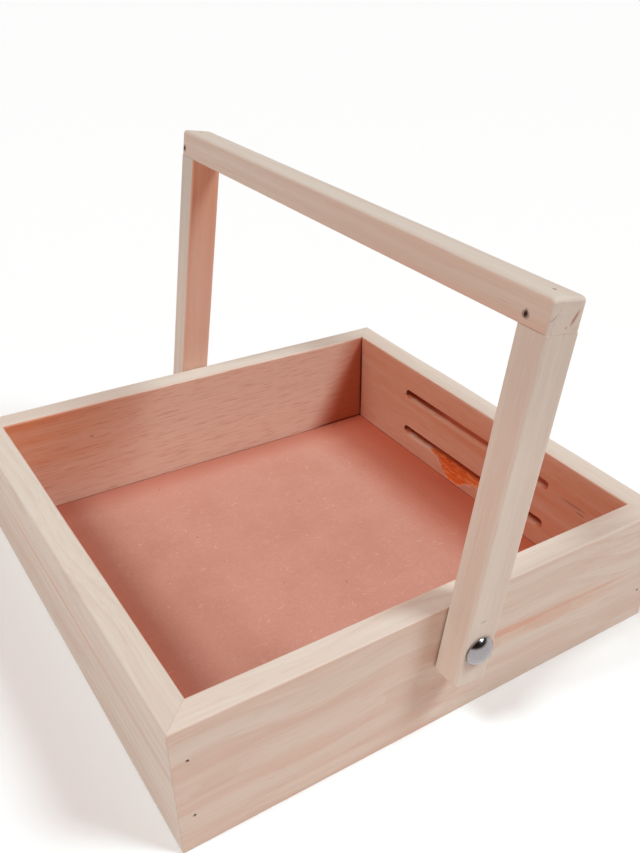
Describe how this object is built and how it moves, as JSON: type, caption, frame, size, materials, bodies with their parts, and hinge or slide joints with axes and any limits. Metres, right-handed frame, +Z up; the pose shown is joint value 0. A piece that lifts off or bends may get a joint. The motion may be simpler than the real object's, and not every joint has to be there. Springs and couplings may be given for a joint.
{
  "type": "wooden caddy",
  "caption": "Shallow square pine tray with mitred walls, a panel floor in a groove, slots through one end wall, and a square-bar carrying handle that swings on capped screws.",
  "frame": {"origin": "on the table, under the middle of the tray", "axes": "+X along the front wall towards the slotted end wall, +Y from the front wall to the back wall and along the handle bar, +Z up"},
  "size_m": [0.3, 0.3456, 0.2332],
  "materials": {
    "pine_board": "planed and lightly sanded, unfinished",
    "pine_strip": "planed square stock with sanded edges, unfinished",
    "fibreboard": "bare reddish-brown medium density fibreboard",
    "chrome_cap": "polished plating on a domed cap",
    "zinc_screw": "zinc-plated steel",
    "brad_steel": "bright steel wire"
  },
  "bodies": {
    "tray": {"front_wall": "pine_board", "back_wall": "pine_board", "left_end_wall": "pine_board", "right_end_wall": "pine_board", "floor_panel": "fibreboard", "front_left_low_brad": "brad_steel", "front_left_high_brad": "brad_steel", "front_right_low_brad": "brad_steel", "front_right_high_brad": "brad_steel", "back_left_low_brad": "brad_steel", "back_left_high_brad": "brad_steel", "back_right_low_brad": "brad_steel", "back_right_high_brad": "brad_steel", "front_pivot_screw": "zinc_screw", "back_pivot_screw": "zinc_screw", "front_pivot_cap": "chrome_cap", "back_pivot_cap": "chrome_cap"},
    "handle": {"front_arm": "pine_strip", "back_arm": "pine_strip", "handle_bar": "pine_strip", "front_bar_top_brad": "brad_steel", "front_bar_toe_brad": "brad_steel", "back_bar_top_brad": "brad_steel", "back_bar_toe_brad": "brad_steel"}
  },
  "joints": [
    {"name": "handle_swing", "type": "hinge", "parent": "tray", "child": "handle", "pos_m": [0, 0, 0.061], "axis": [0, 1, 0], "range_deg": [-112.5, 95.5]}
  ]
}
